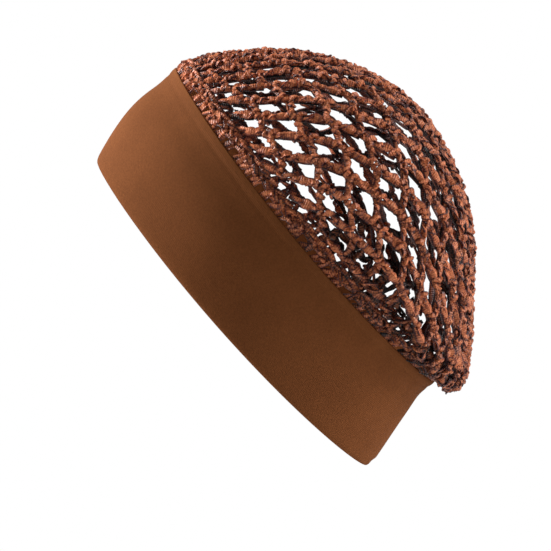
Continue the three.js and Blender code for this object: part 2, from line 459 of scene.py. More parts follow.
@dataclass(frozen=True)
class JerseyFinish:
    """Smooth matte stretch jersey, with noise in cycles a metre and its ribs in millimetres."""

    deep: Colour = (0.185, 0.060, 0.019)
    base: Colour = (0.27, 0.091, 0.029)
    # The colour of the painted highlight along the seam.
    light: Colour = (0.33, 0.115, 0.037)
    rib_pitch: float = 0.9
    fibre_scale: float = 1100.0
    cloud_scale: float = 45.0
    shade_fibre: float = 2.2
    shade_cloud: float = 0.8
    shade_floor: float = 1.0
    knit_height: float = 0.5
    bump: float = 0.45
    roughness: float = 0.85
    specular: float = 0.06

    def material(self) -> bpy.types.Material:
        """Draws up the jersey, with its fine knit on the band's UV map and a painted highlight along the
        seam.

        Returns:
            The material.
        """
        graph = Graph.for_material("band_jersey")
        across, up = graph.uv("knit")
        wales = (across * (FULL_TURN / self.rib_pitch)).wave()
        courses = (up * (FULL_TURN / self.rib_pitch)).wave()
        place = graph.place()
        fibre = graph.noise(place, self.fibre_scale, detail=3.0, roughness=0.7)
        cloud = graph.noise(place, self.cloud_scale, detail=3.0, roughness=0.6)
        shade = (fibre * self.shade_fibre + cloud * self.shade_cloud - self.shade_floor).clamped()
        cloth = graph.mix(shade, self.deep, self.base)
        return graph.finish(
            # Painted highlight: the rim attribute mixes in the light colour along the seam at the front.
            Base_Color=graph.mix(graph.attribute("rim"), cloth, self.light),
            Roughness=self.roughness,
            Normal=graph.bump(wales * courses * self.knit_height + fibre, self.bump),
            Specular_IOR_Level=self.specular,
        )


@dataclass(frozen=True)
class YarnFinish:
    """Flat satin ribbon yarn with fine ribs across it, in the units of the jersey.

    A field that starts with shade, glint, shine or dim is the share that a pattern has in the yarn's shade,
    in its painted glints, in where its lightest colour shows as a painted highlight, or in the darkening of
    a whole run. The two that end in floor are taken off the sum. The shade is partly random tone and partly
    painted shade: darker tape edges and inner sides, darker rib grooves, and runs painted darker where they
    dive under others, in the bag and on the folds, down to a near black.
    """

    # Near black painted shade, where a run dives under its neighbours or lies folded under.
    gap: Colour = (0.012, 0.004, 0.005)
    deep: Colour = (0.082, 0.023, 0.027)
    base: Colour = (0.48, 0.104, 0.040)
    # The colour of the painted highlights and glints.
    light: Colour = (1.0, 0.34, 0.145)
    rib_pitch: float = 1.15
    rib_wander: float = 1.6
    fleck_scale: float = 950.0
    blotch_scale: float = 430.0
    face_power: float = 1.7
    inner_face: float = 0.6
    shade_tone: float = 0.95
    shade_fleck: float = 0.9
    shade_blotch: float = 1.3
    shade_ribs: float = 0.35
    shade_floor: float = 1.85
    deep_tone: float = 5.0
    glint_fleck: float = 4.0
    glint_blotch: float = 2.4
    glint_floor: float = 2.7
    shine_ribs: float = 0.35
    shine_glint: float = 0.7
    dim_tone: float = 0.8
    dim_least: float = 0.42
    bump: float = 0.6
    bump_fleck: float = 0.8
    roughness: float = 0.46
    rib_gloss: float = 0.1
    specular: float = 0.35

    def material(self) -> bpy.types.Material:
        """Draws up the yarn, with its ribs, painted shade at its edges and painted glints on the tapes' UV
        map.

        Returns:
            The material.
        """
        graph = Graph.for_material("ribbon_yarn")
        length, around = graph.uv("tape")
        # Painted shade: the tape's edges and its inner side are painted darker than the middle of its outer
        # side.
        face = self._face(around)
        tone = graph.attribute("tone")
        place = graph.place()
        fleck = graph.noise(place, self.fleck_scale, roughness=0.6)
        blotch = graph.noise(place, self.blotch_scale, detail=1.0)
        ribs = (length * (FULL_TURN / self.rib_pitch) + fleck * self.rib_wander).wave()
        patterns = tone * self.shade_tone + fleck * self.shade_fleck + blotch * self.shade_blotch
        # The shade mixes random tone and noise with painted shade at the tape edges and in the rib grooves.
        shade = (patterns + face + ribs * self.shade_ribs - self.shade_floor).clamped()
        # Painted shade: where a run's tone is low, at its dive ends and on the folds, its dark end goes to
        # near black.
        under = graph.mix((tone * self.deep_tone).clamped(), self.gap, self.deep)
        dull = graph.mix(shade, under, self.base)
        # Painted glints and a painted highlight in the lightest colour, on the flat side and along the rib
        # crests.
        glint = (fleck * self.glint_fleck + blotch * self.glint_blotch - self.glint_floor).clamped()
        shine = (shade * face * (ribs * self.shine_ribs + glint * self.shine_glint)).clamped()
        # The whole run is darkened by its tone, partly random and partly painted shade.
        dim = (tone * self.dim_tone + self.dim_least).clamped()
        return graph.finish(
            Base_Color=graph.mix(1.0, graph.mix(shine, dull, self.light), dim, "MULTIPLY"),
            Roughness=(self.roughness - ribs * self.rib_gloss).clamped(),
            Normal=graph.bump(ribs + fleck * self.bump_fleck, self.bump),
            Specular_IOR_Level=self.specular,
        )

    def _face(self, around: Value) -> Value:
        """Painted shade across the tape, from how squarely each place lies on its flat side.

        Args:
            around: Turns round the tape.

        Returns:
            1 in the middle of its outer side, less in the middle of its inner side, and 0 at both edges.
        """
        swing = (around * FULL_TURN).sine()
        inner = (0.0 - swing).clamped() ** self.face_power * self.inner_face
        return swing.clamped() ** self.face_power + inner


@dataclass(frozen=True)
class PaperFinish:
    """The floor's pale paper, which the camera sees fade into the white surroundings."""

    dark: Colour = (0.62, 0.62, 0.62)
    pale: Colour = (0.66, 0.66, 0.66)
    glow: Colour = (0.38, 0.38, 0.38)
    grain_scale: float = 40.0
    fade_rate: float = 1.2
    fade_start: float = 0.6
    roughness: float = 0.9

    def material(self) -> bpy.types.Material:
        """Draws up the paper.

        Returns:
            The material.
        """
        graph = Graph.for_material("floor_paper")
        place = graph.place()
        seen = graph.seen()
        distance = graph.node("ShaderNodeVectorMath", {"operation": "LENGTH"}, {"0": place}, "Value")
        far = (distance * self.fade_rate - self.fade_start).clamped() * seen
        paper = graph.mix(graph.noise(place, self.grain_scale), self.dark, self.pale)
        return graph.finish(
            Base_Color=graph.mix(far, paper, BLACK),
            Roughness=self.roughness,
            Emission_Color=graph.mix(seen, BLACK, graph.mix(far, self.glow, WHITE)),
            Emission_Strength=1.0,
            Specular_IOR_Level=0.0,
        )


# Meshes


def deselect() -> None:
    """Leaves edit mode with nothing selected."""
    if bpy.context.object and bpy.context.object.mode != "OBJECT":
        bpy.ops.object.mode_set(mode="OBJECT")
    bpy.ops.object.select_all(action="DESELECT")


def settle(
    piece: bpy.types.Object, material: bpy.types.Material, slot: str, *nodes: str
) -> bpy.types.Object:
    """Gives a finished piece its material and its place in the frame.

    Args:
        piece: The piece.
        material: Its finish.
        slot: The record's material slot, which is not used.
        nodes: The CAD nodes that it stands for.

    Returns:
        The piece.
    """
    piece.data.materials.clear()
    piece.data.materials.append(material)
    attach(piece, "root")
    if nodes:
        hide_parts(*nodes)
    LOG.info("%s: %d faces", piece.name, len(piece.data.polygons))
    return piece


@dataclass(frozen=True)
class Variation:
    """How much the tapes of one kind of stitch differ from one another.

    The width and the arch are ranges of the share of the tape's own value. The bow, the roll, the twist and
    the tone are the most that each may change either way, up to the brightest tone. The crease is a range of
    its sharpness.
    """

    width: tuple[float, float]
    arch: tuple[float, float]
    bow: float
    roll: float
    twist: float
    tone: float
    crease: tuple[float, float] = (0.25, 0.75)
    brightest: float = 1.1


@dataclass(frozen=True)
class Tape:
    """The look of one visible run of ribbon yarn, in millimetres and degrees.

    Attributes:
        width: Greatest width.
        arch: How far its middle stands out.
        tone: Shade of its yarn, from 0 for dark to 1, partly random tone and partly painted shade.
        bow: How far its middle swings sideways.
        lift: How far the whole run stands out.
        roll: Turn of its flat side about its length.
        twist: Turn of its flat side from one end to the other.
        taper: Width of its ends as a share of the width.
        crease: How sharply it is folded along its length, below 0 for a groove.
        phase: Where its width wavers, in turns.
    """

    width: float
    arch: float
    tone: float
    bow: float = 0.0
    lift: float = 0.0
    roll: float = 0.0
    twist: float = 0.0
    taper: float = 0.5
    crease: float = 0.0
    phase: float = 0.0

    def varied(self, by: Variation, random: np.random.Generator) -> "Tape":
        """This tape with seeded variation, a crease and a phase.

        Args:
            by: How much it may differ.
            random: The seeded numbers.

        Returns:
            The tape as it is laid.
        """
        return replace(
            self,
            width=self.width * random.uniform(*by.width),
            arch=self.arch * random.uniform(*by.arch),
            bow=self.bow + by.bow * random.uniform(-1, 1),
            roll=self.roll + by.roll * random.uniform(-1, 1),
            twist=self.twist + by.twist * random.uniform(-1, 1),
            tone=float(np.clip(self.tone + by.tone * random.uniform(-1, 1), 0, by.brightest)),
            crease=random.choice((-1, 1)) * random.uniform(*by.crease),
            phase=random.uniform(0, 1),
        )


@dataclass
class TapeRuns:
    """Many visible runs of ribbon yarn, each between two places where it dives under its neighbours.

    A tape's outline is a flattened ring with as many sides, in millimetres of thickness. Its cup bends both
    edges inwards, and its flank and its shoulder are powers, lower for a squarer outline. The waver and the
    dive are shares of the width and of the tone, and the swell is the power of their rise from both ends.
    The dive is painted shade, taken off the tone towards both ends where the run dives under its neighbours.
    """

    stations: int = 11
    sides: int = 8
    thickness: float = 1.2
    cup: float = 0.14
    flank: float = 0.8
    shoulder: float = 0.84
    waver: float = 0.14
    waver_turns: float = 1.5
    swell: float = 0.7
    dive: float = 0.75
    sharp: float = 30.0
    places: list[tuple[np.ndarray, np.ndarray, np.ndarray]] = field(default_factory=list)
    tapes: list[Tape] = field(default_factory=list)

    def add(self, start: np.ndarray, end: np.ndarray, out: np.ndarray, tape: Tape) -> None:
        """Adds one run.

        Args:
            start: Where it starts, in metres.
            end: Where it ends, in metres.
            out: The outward direction of the net there.
            tape: Its look.
        """
        self.places.append((start, end, out))
        self.tapes.append(tape)

    def build(self, name: str) -> bpy.types.Object:
        """Sweeps every run into one mesh.

        Args:
            name: The piece's name.

        Returns:
            The piece, with its tape UV map and its attribute of tone and painted shade.
        """
        # One Tape whose every field is a column with a row for each run
        looks = Tape(*np.array([astuple(tape) for tape in self.tapes]).T[..., None])
        path, across, face = self._paths(looks)
        reach, height = self._sections(looks)
        points = path[:, :, None] + across[:, :, None] * reach[..., None]
        points = points + face[:, :, None] * height[..., None]
        steps = np.linalg.norm(np.diff(path, axis=1), axis=2)
        length = np.concatenate([np.zeros((len(path), 1)), np.cumsum(steps, axis=1)], axis=1) / MM
        mesh = self._faces(name, len(path))
        mesh.vertices.foreach_set("co", points.ravel())
        self._dress(mesh, length, looks.tone)
        mesh.update(calc_edges=True)
        mesh.validate()
        piece = bpy.data.objects.new(name, mesh)
        bpy.context.scene.collection.objects.link(piece)
        deselect()
        piece.select_set(True)
        bpy.context.view_layer.objects.active = piece
        bpy.ops.object.shade_smooth_by_angle(angle=math.radians(self.sharp))
        return piece

    def _hump(self) -> np.ndarray:
        """How far each station is from the ends of its run, 0 at both and 1 in the middle."""
        return np.sin(math.pi * np.linspace(0, 1, self.stations))

    def _paths(self, looks: Tape) -> tuple[np.ndarray, np.ndarray, np.ndarray]:
        """Works out the line of every run.

        Args:
            looks: The look of every run.

        Returns:
            Every station, the direction across the tape there and the direction that its flat side faces.
        """
        start, end, out = np.array(self.places).transpose(1, 0, 2)
        out = unit(out)
        t = np.linspace(0, 1, self.stations)
        rise = (looks.lift + looks.arch * self._hump()) * MM
        swing = looks.bow * self._hump() * MM
        side = unit(np.cross(out, end - start))
        path = start[:, None] + (end - start)[:, None] * t[:, None]
        path = path + out[:, None] * rise[..., None] + side[:, None] * swing[..., None]
        ahead = unit(np.gradient(path, axis=1))
        flat = unit(np.cross(np.broadcast_to(out[:, None], ahead.shape), ahead))
        face = np.cross(ahead, flat)
        angle = np.radians(looks.roll + looks.twist * (t - 0.5))[..., None]
        across = flat * np.cos(angle) + face * np.sin(angle)
        return path, across, face * np.cos(angle) - flat * np.sin(angle)

    def _sections(self, looks: Tape) -> tuple[np.ndarray, np.ndarray]:
        """Works out the outline of the tape at every station.

        Args:
            looks: The look of every run.

        Returns:
            How far the points of the outline are across the tape and out of its flat side, in metres.
        """
        t = np.linspace(0, 1, self.stations)
        waver = 1 + self.waver * np.sin(FULL_TURN * (self.waver_turns * t + looks.phase))
        swell = looks.taper + (1 - looks.taper) * self._hump() ** self.swell
        half = (looks.width / 2 * swell * waver * MM)[..., None]
        theta = FULL_TURN * np.arange(self.sides) / self.sides
        cos, sin = np.cos(theta), np.sin(theta)
        reach = half * np.sign(cos) * np.abs(cos) ** self.flank
        rounded = self.thickness / 2 * MM * np.sign(sin) * np.abs(sin) ** self.shoulder
        bent = half * (self.cup * cos**2 - looks.crease[..., None] * (0.5 - np.abs(cos)))
        return reach, rounded - bent

    def _corners(self) -> tuple[np.ndarray, np.ndarray]:
        """Lists the corners of the quads of one run.

        Returns:
            The station of each corner and its place round the tape, four to a quad.
        """
        station, here = np.meshgrid(np.arange(self.stations - 1), np.arange(self.sides), indexing="ij")
        stations = np.stack([station, station, station + 1, station + 1], axis=-1)
        places = np.stack([here, here + 1, here + 1, here], axis=-1)
        return stations.reshape(-1, 4), places.reshape(-1, 4)

    def _faces(self, name: str, count: int) -> bpy.types.Mesh:
        """Makes the mesh, with its quads and two end caps for every run.

        Args:
            name: The mesh's name.
            count: How many runs it has.

        Returns:
            The mesh, whose points are still to be placed.
        """
        stations, places = self._corners()
        quads = stations * self.sides + places % self.sides
        first = np.arange(self.sides)[::-1]
        last = np.arange(self.sides) + (self.stations - 1) * self.sides
        run = np.concatenate([quads.ravel(), first, last])
        sizes = np.concatenate([np.full(len(quads), 4), [self.sides, self.sides]])
        base = np.arange(count) * self.stations * self.sides
        loops = (run[None] + base[:, None]).ravel()
        all_sizes = np.tile(sizes, count)
        starts = np.concatenate([[0], np.cumsum(all_sizes)[:-1]])
        mesh = bpy.data.meshes.new(name)
        mesh.vertices.add(count * self.stations * self.sides)
        mesh.loops.add(len(loops))
        mesh.polygons.add(len(all_sizes))
        mesh.loops.foreach_set("vertex_index", loops.astype(np.int32))
        mesh.polygons.foreach_set("loop_start", starts.astype(np.int32))
        return mesh

    def _dress(self, mesh: bpy.types.Mesh, length: np.ndarray, tone: np.ndarray) -> None:
        """Adds what the yarn's finish reads.

        Args:
            mesh: The mesh, which gets the tape UV map, in millimetres along and turns round, and the tone.
            length: How far each station is along its run, in millimetres.
            tone: The tone of every run, with painted shade towards both ends, where it dives under others.
        """
        stations, places = self._corners()
        along = length[:, stations.ravel()]
        around = np.broadcast_to(places.ravel() / self.sides, along.shape)
        ends = np.repeat(length[:, [0, -1]], self.sides, axis=1)
        u = np.concatenate([along, ends], axis=1)
        v = np.concatenate([around, np.zeros_like(ends)], axis=1)
        layer = mesh.uv_layers.new(name="tape")
        layer.uv.foreach_set("vector", np.stack([u, v], axis=-1).ravel())
        # Painted shade: the tone darkens towards both ends, where the run dives under its neighbours.
        bare = 1 - self.dive + self.dive * self._hump() ** self.swell
        shades = np.repeat(tone * bare, self.sides, axis=1)
        attribute = mesh.attributes.new("tone", "FLOAT", "POINT")
        attribute.data.foreach_set("value", shades.ravel())


# Headband


@dataclass(frozen=True)
class Ripple:
    """A slight unevenness of the stretched cloth, in waves that slant round the band."""

    height: float
    waves: int
    slant: float
    phase: float
    fade: int

    def offset(self, turn: np.ndarray, level: np.ndarray) -> np.ndarray:
        """How far it stands out at each place, fading to nothing at both edges of the band."""
        waves = np.sin(self.waves * turn + self.slant * level + self.phase)
        return self.height * waves * np.sin(math.pi * level) ** self.fade


BAND_RIPPLES = (
    Ripple(height=0.35, waves=5, slant=2.2, phase=0.0, fade=2),
    Ripple(height=0.2, waves=11, slant=-3.1, phase=0.7, fade=1),
)


@dataclass(frozen=True)
class Band:
    """The wide headband, a ring of doubled jersey with a rolled seam edge and a hem, in millimetres."""

    form: WornForm
    columns: int = 384
    levels: int = 60
    wall: float = 2.0
    height: float = 62.0
    length: float = 585.0
    roll: float = 0.4
    roll_height: float = 3.2
    groove: float = 0.25
    groove_at: float = 5.44
    groove_width: float = 1.3
    dip: float = 0.7
    dip_at: float = 12.0
    dip_width: float = 7.0
    hem_roll: float = 1.08
    hem_fade: float = 1.4
    seam_depth: float = 0.7
    seam_width: float = 1.6
    step_depth: float = 1.3
    step_height: float = 5.5
    step_fade: float = 0.5
    step_width: float = 14.0
    rim_light: float = 0.8
    weld: float = 0.001
    bevel: float = 0.8
    bevel_segments: int = 3
    bevel_angle: float = 50.0

    def relief(self, turn: np.ndarray, level: np.ndarray) -> np.ndarray:
        """How far the face stands out of the plain form, in millimetres.

        Args:
            turn: Angles from the forehead.
            level: Heights, 0 at the hem and 1 at the seam.

        Returns:
            One offset for each place.
        """
        below_seam = (1 - level) * self.height
        above_hem = level * self.height
        from_rear = (turn - math.pi) * self.length / FULL_TURN
        edge = self.roll * bell(below_seam - self.roll_height / 2, self.roll_height)
        groove = self.groove * bell(below_seam - self.groove_at, self.groove_width)
        dip = self.dip * bell(below_seam - self.dip_at, self.dip_width)
        hem = self.hem_roll * np.exp(-above_hem / self.hem_fade)
        ripples = sum(ripple.offset(turn, level) for ripple in BAND_RIPPLES)
        rear_seam = self.seam_depth * bell(from_rear, self.seam_width)
        near_hem = 1 / (1 + np.exp((above_hem - self.step_height) / self.step_fade))
        rear_step = self.step_depth * bell(from_rear, self.step_width) * near_hem
        return edge - groove - dip - hem + ripples - rear_seam - rear_step

    def build(self) -> bpy.types.Object:
        """Shapes a flat grid into the ring, closes it and gives it its wall.

        Returns:
            The piece.
        """
        deselect()
        bpy.ops.mesh.primitive_grid_add(
            x_subdivisions=self.columns, y_subdivisions=self.levels, size=1, location=(0, 0, 0)
        )
        piece = bpy.context.object
        piece.name = "band_jersey"
        piece.data.name = "band_jersey"
        self._shape(piece.data)
        bpy.ops.object.mode_set(mode="EDIT")
        bpy.ops.mesh.select_all(action="SELECT")
        bpy.ops.mesh.remove_doubles(threshold=self.weld * MM)
        bpy.ops.mesh.normals_make_consistent(inside=False)
        bpy.ops.object.mode_set(mode="OBJECT")
        self._modify(piece, "SOLIDIFY", thickness=self.wall * MM, offset=-1, use_even_offset=True)
        self._modify(
            piece,
            "BEVEL",
            width=self.bevel * MM,
            segments=self.bevel_segments,
            limit_method="ANGLE",
            angle_limit=math.radians(self.bevel_angle),
        )
        piece.data.shade_smooth()
        return piece

    def _shape(self, mesh: bpy.types.Mesh) -> None:
        """Bends the grid round the head and adds what the jersey's finish reads.

        Args:
            mesh: A flat grid with sides of one metre, which gets the knit UV map in millimetres and the rim,
            a painted highlight along the seam at the front.
        """
        flat = np.empty(len(mesh.vertices) * 3)
        mesh.vertices.foreach_get("co", flat)
        flat = flat.reshape(-1, 3)
        turn = (flat[:, 0] + 0.5) * FULL_TURN
        level = np.clip(flat[:, 1] + 0.5, 0, 1)
        points = self.form.band(turn, level, self.relief(turn, level))
        mesh.vertices.foreach_set("co", points.ravel())
        mesh.uv_layers[0].name = "knit"
        uv = np.empty(len(mesh.loops) * 2)
        mesh.uv_layers[0].uv.foreach_get("vector", uv)
        uv = uv.reshape(-1, 2) * (self.length, self.height)
        mesh.uv_layers[0].uv.foreach_set("vector", uv.ravel())
        # Painted highlight: the jersey is painted lighter along the seam, most at the front where the front
        # light falls.
        near_seam = np.clip(1 - (1 - level) * self.height / self.roll_height, 0, 1)
        near_front = (1 + np.cos(turn)) / 2
        rim = mesh.attributes.new("rim", "FLOAT", "POINT")
        rim.data.foreach_set("value", near_seam * near_front * self.rim_light)

    @staticmethod
    def _modify(piece: bpy.types.Object, kind: str, **settings: float | str | bool) -> None:
        """Adds a modifier and applies it.

        Args:
            piece: The active object.
            kind: The modifier's type.
            settings: Its settings.
        """
        modifier = piece.modifiers.new(kind.lower(), kind)
        for key, setting in settings.items():
            setattr(modifier, key, setting)
        bpy.ops.object.modifier_apply(modifier=modifier.name)


# Crochet net


@dataclass(frozen=True)
class Stitch:
    """One visible run of tape in a cell of the net.

    Places are shares of the hole pitch along the row and of the row pitch towards the wearer's left, counted
    from the cell's hole. A stitch that joins is laid even where only one of its ends is inside the rim.
    """

    start: tuple[float, float]
    end: tuple[float, float]
    tape: Tape
    joins: bool = False


# The first three numbers of each tape are its width, its arch and its tone, lower as painted shade on low
# runs

ROPE_STITCHES = (
    Stitch((0.20, 0.49), (0.64, 0.45), Tape(4.8, 1.3, 0.95, roll=8, taper=0.7), joins=True),
    Stitch((-0.04, 0.59), (0.70, 0.58), Tape(2.6, 0.3, 0.3, lift=-0.6, roll=-35, taper=0.7), joins=True),
    Stitch((0.00, 0.40), (0.34, 0.39), Tape(2.7, 1.4, 0.8, bow=-0.6, roll=-25), joins=True),
)

CURL_STITCHES = (
    Stitch((-0.09, 0.65), (0.08, 0.31), Tape(3.0, 1.9, 0.9, bow=0.9, lift=0.2, roll=18)),
    Stitch((0.12, 0.66), (0.26, 0.33), Tape(2.7, 1.9, 0.7, bow=-0.4, lift=0.2, roll=-20)),
    Stitch((0.54, 0.64), (0.69, 0.31), Tape(3.1, 1.7, 0.8, bow=0.5, lift=0.2, roll=14)),
    Stitch((0.02, 0.63), (0.36, 0.61), Tape(2.4, 1.2, 0.6, bow=0.4, lift=0.1, roll=30)),
)

COLUMN_STITCHES = (
    Stitch((0.23, -0.47), (0.59, 0.28), Tape(1.9, 0.8, 0.5, bow=0.5, roll=25, taper=0.8)),
    Stitch((0.29, -0.55), (0.47, -0.18), Tape(3.4, 1.4, 0.7, roll=22, twist=20)),
    Stitch((0.36, -0.15), (0.60, -0.07), Tape(3.0, 1.6, 0.65, lift=0.3, roll=-18)),
    Stitch((0.48, -0.12), (0.66, 0.28), Tape(3.3, 1.3, 0.6, roll=-12, twist=-25)),
    Stitch((0.30, -0.42), (0.67, 0.26), Tape(2.4, 0.1, 0.15, lift=-0.9, roll=-20, taper=0.8)),
)

STRAND_STITCHES = (
    Stitch((-0.40, 0.12), (0.02, 0.40), Tape(1.9, 0.2, 0.35, roll=50, taper=0.8), joins=True),
    Stitch((-0.42, 0.27), (-0.02, 0.52), Tape(1.6, 0.0, 0.2, bow=-0.5, lift=-0.2, roll=65, taper=0.9)),
    Stitch((0.64, 0.52), (0.92, 0.61), Tape(2.6, 1.0, 0.7, roll=20, twist=30), joins=True),
    Stitch((0.85, 0.66), (1.01, 0.43), Tape(2.4, 1.1, 0.6, lift=0.1, roll=-20)),
)

KNOT_PLACES = ((0.20, -0.50), (0.64, 0.27), (0.64, 0.40))
KNOT_REACH = (0.11, 0.18)
KNOT_TAPE = Tape(2.5, 1.8, 0.75, lift=0.4)

NET_VARIATION = Variation(width=(0.86, 1.14), arch=(0.8, 1.2), bow=0.3, roll=26, twist=35, tone=0.3)


@dataclass
class Net:
    """The crocheted crown: staggered rows of almond holes between chains of ribbon, tied by short columns.

    Its lattice is drawn on a flat unit disc, with the apex in the middle and the seam at a distance of 1.
    The jitter, the warp and the stagger are shares of a cell, and depths and widths of tape are millimetres.
    The other fields are distances on the disc or shares. Those for shade darken the tone of stitches as
    painted shade near the rim towards the nape, under the bag, over the whole rear and on the layer folded
    under.
    """

    form: WornForm
    first_hole: tuple[float, float] = (0.59, -0.14)
    hole_pitch: float = 0.142
    row_drift: float = -0.05
    row_pitch: float = 0.0989
    stagger: float = 0.42
    reach: float = 1.25
    last_free: float = 0.945
    nape_gather: float = 0.075
    last_drawn: float = 0.985
    last_front: float = 0.945
    last_nape: float = 1.01
    # Painted shade near the rim at the nape, under the bag, and over the rear of the net
    shaded_from: float = 0.84
    hump_shade: float = 0.6
    gap_shade: float = 0.95
    bright_from: float = 0.78
    nape_tone: float = 0.2
    nape_width: float = 0.12
    bag_slim: float = 0.5
    bag_drop: float = 0.75
    kept_width: float = 4.0
    folded_from: float = 0.84
    folded_front: float = -0.1
    fold_shift: tuple[float, float] = (0.5, 0.35)
    fold_depth: float = 3.5
    fold_width: float = 1.15
    fold_tone: float = 0.12
    sink: float = 1.8
    shortest: float = 1.2
    jitter: float = 0.022
    warp: float = 0.07
    warp_along: tuple[float, float, float] = (1.7, 0.9, 0.0)
    warp_across: tuple[float, float, float] = (-1.1, 2.3, 0.6)
    seed: int = 7

    def __post_init__(self) -> None:
        """Starts the seeded variation."""
        self.random = np.random.default_rng(self.seed)

    def cells(self) -> Iterator[tuple[float, int]]:
        """Every cell of the lattice, also past the rim, as its hole along its row and its row."""
        rows = math.ceil(2 / self.row_pitch)
        holes = math.ceil(2 / self.hole_pitch)
        for row in range(-rows, rows + 1):
            for place in range(-holes, holes + 1):
                yield place - self.stagger * row, row

    def _warped(self, count: float, hole: float, row: float, waves: tuple[float, ...]) -> float:
        """A count of holes or rows that wavers slowly, at rates by row and by hole and from a phase."""
        return count + self.warp * math.sin(waves[0] * row + waves[1] * hole + waves[2])

    def disc(self, hole: float, row: float) -> tuple[float, float]:
        """A place in the net as a place on the unit disc.

        Args:
            hole: Holes along the row, towards the nape.
            row: Rows towards the wearer's left.

        Returns:
            The place across and along.
        """
        holes = self._warped(hole, hole, row, self.warp_along)
        rows = self._warped(row, hole, row, self.warp_across)
        across = self.first_hole[0] + self.row_pitch * rows + self.row_drift * holes
        return across, self.first_hole[1] + self.hole_pitch * holes

    def at(self, across: float, along: float, depth: float) -> tuple[np.ndarray, np.ndarray]:
        """A point on the net and its outward direction, with the cloth gathered towards its rim.

        Args:
            across: Place on the disc towards the wearer's left.
            along: Place on the disc towards the nape.
            depth: Millimetres below the outer face.

        Returns:
            The point and the direction.
        """
        ring = math.hypot(across, along)
        free = self.last_free - self.nape_gather * self.nape_share(across, along)
        scale = 1.0
        if ring > free:
            room = self.last_drawn - free
            scale = (free + room * math.tanh((ring - free) / room)) / ring
        a, b = np.array([across * scale]), np.array([along * scale])
        out = self.form.crown_out(a, b)[0]
        return self.form.crown(a, b)[0] - out * depth * MM, out

    @staticmethod
    def nape_share(across: float, along: float) -> float:
        """How near a place of the disc is to the nape, 0 at the forehead and 1 at the nape."""
        return ((1 + along / max(math.hypot(across, along), TINY)) / 2) ** 2

    def lay(
        self,
        runs: TapeRuns,
        stitch: Stitch,
        cell: tuple[float, float],
        depth: float = 0.0,
        shade: float = 1.0,
    ) -> None:
        """Adds a stitch of one cell, unless it lies outside the rim.

        Args:
            runs: Where the stitch goes.
            stitch: The stitch.
            cell: The cell's hole, counted along its row, and its row.
            depth: Millimetres further in than the outer layer.
            shade: Share of the stitch's tone that is kept, a painted shade for the layer folded under.
        """
        hole, row = cell
        shifts = self.random.uniform(-1, 1, 4) * self.jitter
        start = self.disc(hole + stitch.start[0] + shifts[0], row + stitch.start[1] + shifts[1])
        end = self.disc(hole + stitch.end[0] + shifts[2], row + stitch.end[1] + shifts[3])
        tape = stitch.tape.varied(NET_VARIATION, self.random)
        rings = (math.hypot(*start), math.hypot(*end))
        nape = self.nape_share(*start)
        rim = self.last_front + (self.last_nape - self.last_front) * nape
        if (min(rings) if stitch.joins else max(rings)) > rim:
            return
        # Painted shade: stitches near the rim at the nape, under the bag, and the whole rear of the net are
        # darker.
        near_rim = min(max((rings[0] - self.shaded_from) / (1 - self.shaded_from), 0), 1)
        rim_shade = self.hump_shade if stitch.tape.tone > self.bright_from else self.gap_shade
        shade *= (1 - rim_shade * near_rim * math.sqrt(nape)) * (1 - self.nape_tone * nape)
        widening = self.fold_width
        if not depth:
            widening = 1 + nape * (self.nape_width - self.bag_slim * near_rim)
            dropped = self.random.uniform() < self.bag_drop * near_rim * nape
            if dropped and stitch.tape.width < self.kept_width:
                return
        tape = replace(tape, tone=tape.tone * shade, width=tape.width * widening)
        first, out_first = self.at(*start, self.sink + depth)
        last, out_last = self.at(*end, self.sink + depth)
        if np.linalg.norm(last - first) > self.shortest * MM:
            runs.add(first, last, out_first + out_last, tape)

    def knot(self, along: float, across: float) -> Stitch:
        """A short run over a knot, in any direction.

        Args:
            along: The knot's place along the row.
            across: Its place towards the next row.

        Returns:
            The stitch.
        """
        turn = self.random.uniform(0, FULL_TURN)
        reach_along, reach_across = KNOT_REACH[0] * math.cos(turn), KNOT_REACH[1] * math.sin(turn)
        start = (along - reach_along, across - reach_across)
        end = (along + reach_along, across + reach_across)
        return Stitch(start, end, KNOT_TAPE)

    def build(self) -> list[bpy.types.Object]:
        """Lays every cell of the net.

        Returns:
            The pieces of the net.
        """
        kinds = {
            "net_ropes": (ROPE_STITCHES, TapeRuns(stations=15)),
            "net_curls": (CURL_STITCHES, TapeRuns()),
            "net_columns": (COLUMN_STITCHES, TapeRuns(stations=9)),
            "net_strands": (STRAND_STITCHES, TapeRuns(stations=9)),
        }
        knots = TapeRuns(stations=9)
        for cell in self.cells():
            if math.hypot(*self.disc(*cell)) > self.reach:
                continue
            for stitches, runs in kinds.values():
                for stitch in stitches:
                    self.lay(runs, stitch, cell)
            for place in KNOT_PLACES:
                self.lay(knots, self.knot(*place), cell)
        pieces = [runs.build(name) for name, (_, runs) in kinds.items()]
        return [*pieces, knots.build("net_knots"), self._folds()]

    def _folds(self) -> bpy.types.Object:
        """Lays the net folded under itself in the bag and along its two side folds, painted dark as shade.

        Returns:
            The piece.
        """
        runs = TapeRuns(stations=9)
        for hole, row in self.cells():
            cell = (hole + self.fold_shift[0], row + self.fold_shift[1])
            across, along = self.disc(*cell)
            ring = math.hypot(across, along)
            if ring < self.folded_from or along / ring < self.folded_front:
                continue
            for stitch in (*ROPE_STITCHES[:2], *COLUMN_STITCHES[1:4]):
                self.lay(runs, stitch, cell, self.fold_depth, self.fold_tone)
        return runs.build("net_folds")


@dataclass(frozen=True)
class EdgingStitch:
    """A kind of stitch of the edging, and how many millimetres its two ends lie inside the face."""

    tape: Tape
    start_sink: float
    end_sink: float


